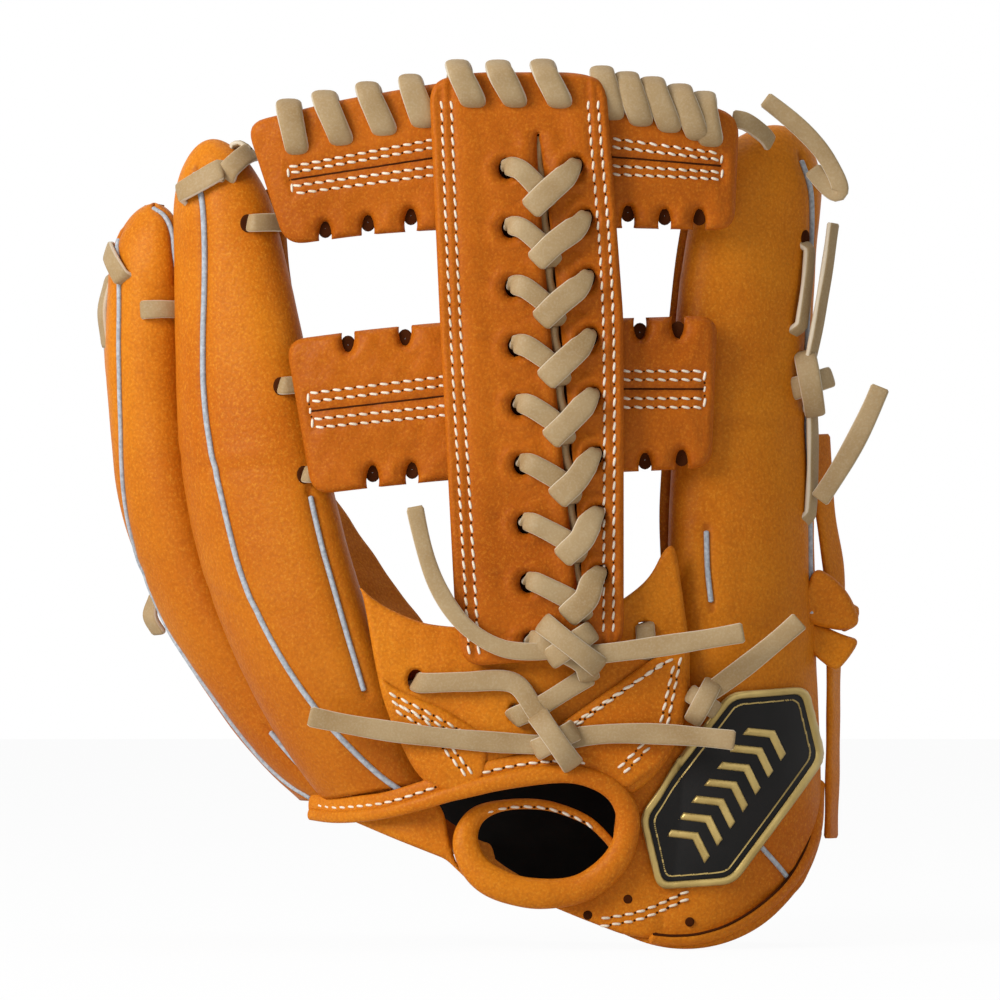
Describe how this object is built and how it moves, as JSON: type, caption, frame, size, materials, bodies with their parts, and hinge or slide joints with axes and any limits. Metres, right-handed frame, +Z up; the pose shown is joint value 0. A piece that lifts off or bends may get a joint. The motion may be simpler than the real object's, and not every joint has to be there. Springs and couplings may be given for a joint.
{
  "type": "baseball glove",
  "caption": "Leather infielder's baseball glove with a laced single-post web, open back with an oval window, heel badge and a flexing thumb.",
  "frame": {"origin": "middle of the hand opening at the wrist rim", "axes": "+Z up the fingers, +X from the fingers to the thumb, the web faces -Y and the pocket opens towards +Y"},
  "size_m": [0.2519, 0.1478, 0.279],
  "materials": {
    "shell_hide": "oiled, fine grain",
    "palm_hide": "oiled, smooth",
    "web_hide": "oiled, folded and stitched",
    "binding": "rolled edge binding",
    "lace": "rawhide lace, matt",
    "welt": "piping, satin",
    "felt": "pressed wool felt",
    "lining": "soft lining",
    "badge": "moulded badge"
  },
  "bodies": {
    "glove": {"index_stall": "shell_hide", "middle_stall": "shell_hide", "ring_stall": "shell_hide", "little_stall": "shell_hide", "thumb_heel": "shell_hide", "palm_hide": "palm_hide", "palm_felt": "felt", "palm_lining": "lining", "back_roll": "binding", "strap_roll": "binding", "wrist_strap": "shell_hide", "finger_heel": "shell_hide", "web_post": "web_hide", "web_top_bar": "web_hide", "web_lower_bar": "web_hide", "web_base": "web_hide", "index_welt": "welt", "middle_welt": "welt", "heel_patch": "badge", "top_lace": "lace", "post_lace": "lace", "base_lace": "lace", "side_lace": "lace", "index_lace": "lace", "middle_lace": "lace", "pull_tail": "shell_hide"},
    "thumb": {"thumb_stall": "shell_hide", "thumb_palm": "palm_hide", "thumb_welt": "welt", "thumb_lace": "lace", "pull_strap": "shell_hide"}
  },
  "joints": [
    {"name": "thumb_fold", "type": "hinge", "parent": "glove", "child": "thumb", "pos_m": [0.036, -0.04, 0.08], "axis": [0, 0, 1], "range_deg": [-3, 20], "stiffness_Nm_per_rad": 0.8}
  ]
}
